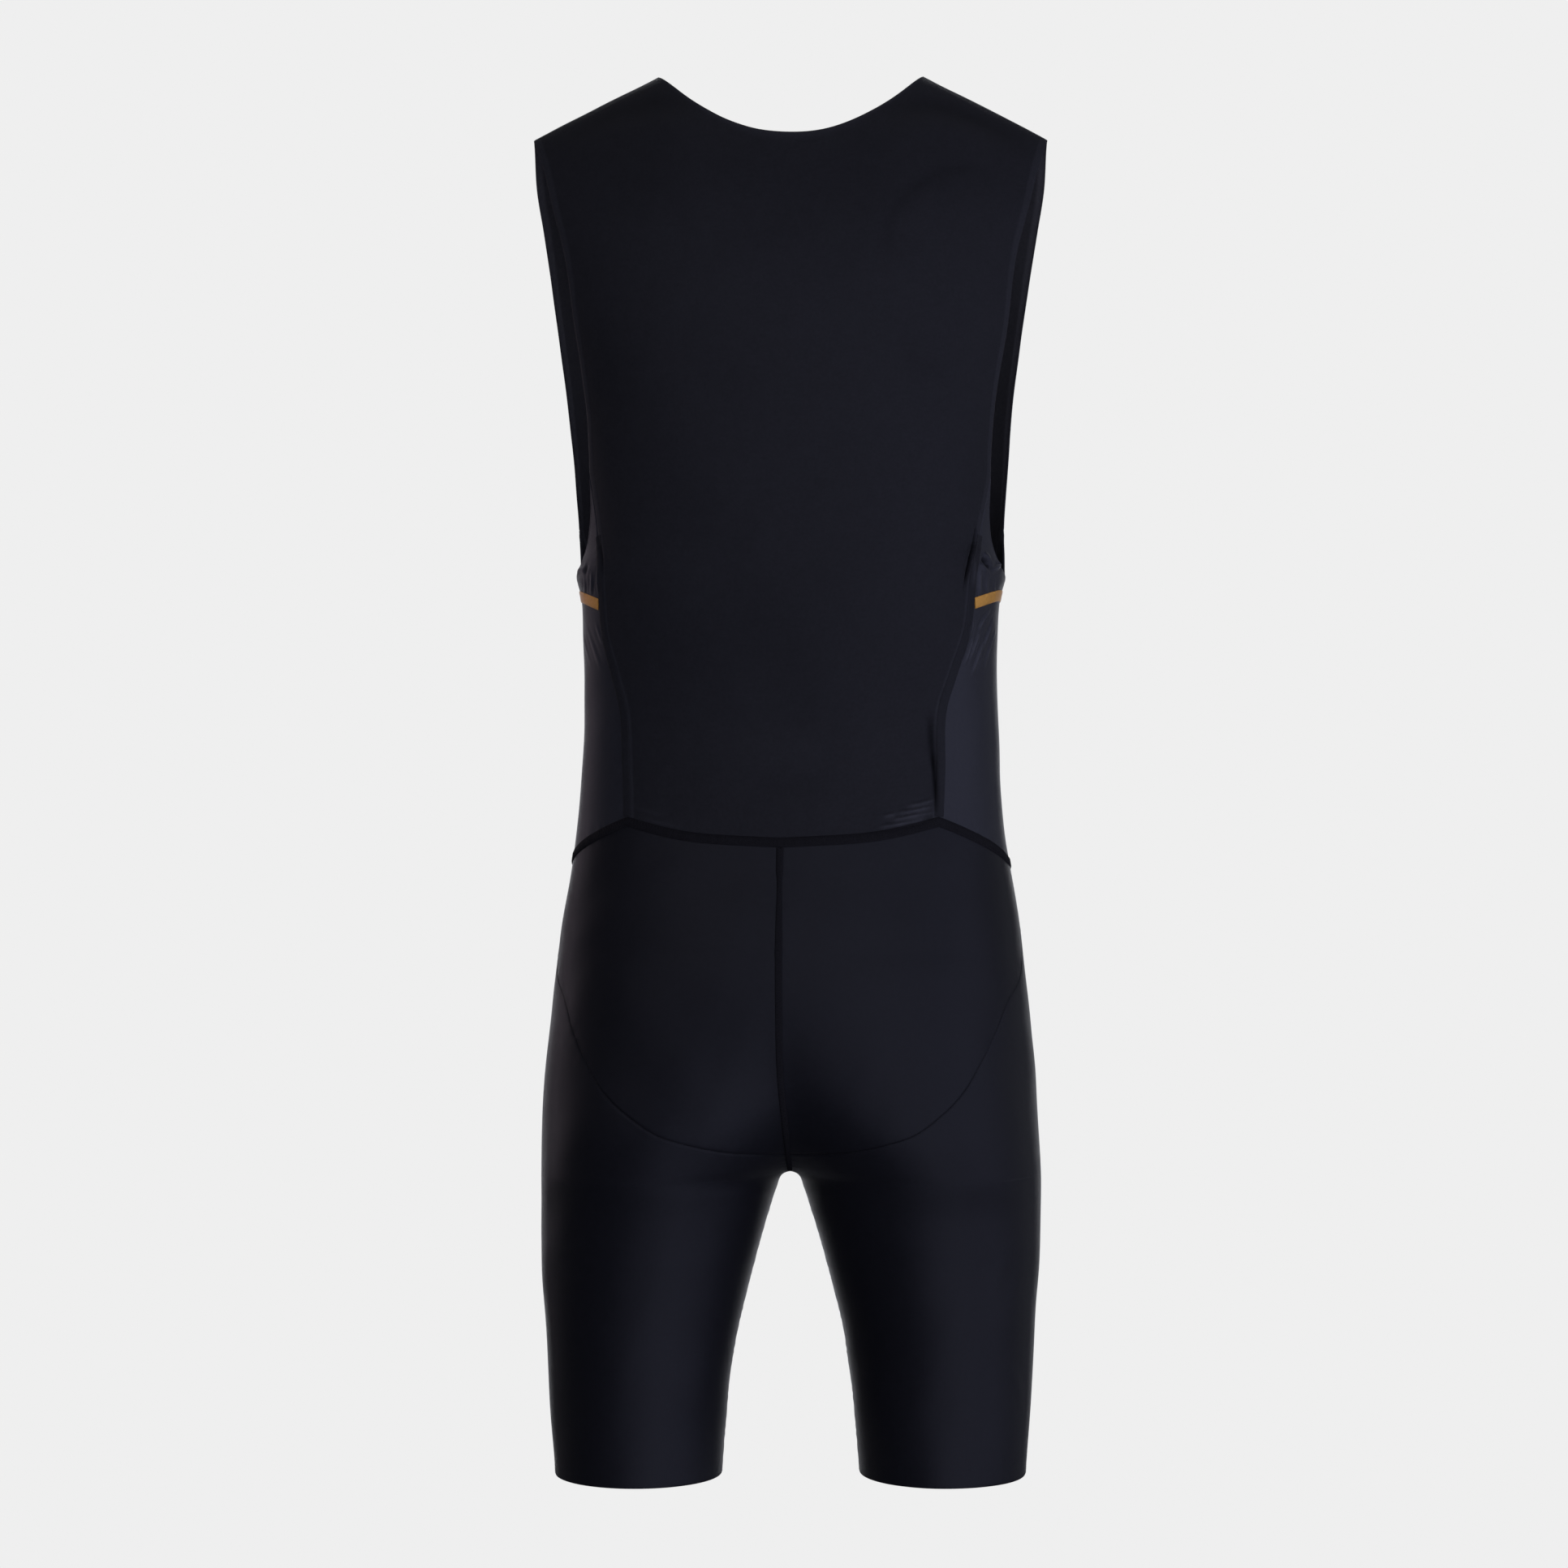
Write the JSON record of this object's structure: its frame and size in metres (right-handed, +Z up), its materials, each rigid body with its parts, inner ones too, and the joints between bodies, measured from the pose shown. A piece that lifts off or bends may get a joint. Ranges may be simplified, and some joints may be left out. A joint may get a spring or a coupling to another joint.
{
  "type": "athletics bodysuit",
  "caption": "Hollow sleeveless, short-legged stretch-cloth athletics suit with taped waist, back and side seams and a bright band below each armhole.",
  "frame": {"origin": "middle of the shoulder line, level with the two highest points of the neckline, where the wearer's shoulders hold the suit up", "axes": "+Z up the body, -Y out of the garment's back, +Y out of its front, +X to the wearer's right"},
  "size_m": [0.3642, 0.2214, 0.9879],
  "materials": {
    "body_cloth": "fine smooth warp knit, near black with a blue-violet cast, soft sheen",
    "side_cloth": "fine smooth warp knit, near black, semi-gloss",
    "leg_cloth": "smooth stretch knit, near black, semi-gloss with broad soft lights",
    "seam_tape": "dark bonded and flat-stitched tape, less shiny than the cloth",
    "bright_band": "ochre gold stretch band with a slight metallic sheen"
  },
  "bodies": {
    "root": {"back_panel": "body_cloth", "front_panel": "body_cloth", "side_panel_right": "side_cloth", "side_panel_left": "side_cloth", "seat_panel_right": "leg_cloth", "seat_panel_left": "leg_cloth", "leg_panel_right": "leg_cloth", "leg_panel_left": "leg_cloth", "waist_tape": "seam_tape", "centre_back_tape": "seam_tape", "side_seam_tape_right": "seam_tape", "side_seam_tape_left": "seam_tape", "side_band_right": "bright_band", "side_band_left": "bright_band"}
  },
  "joints": []
}
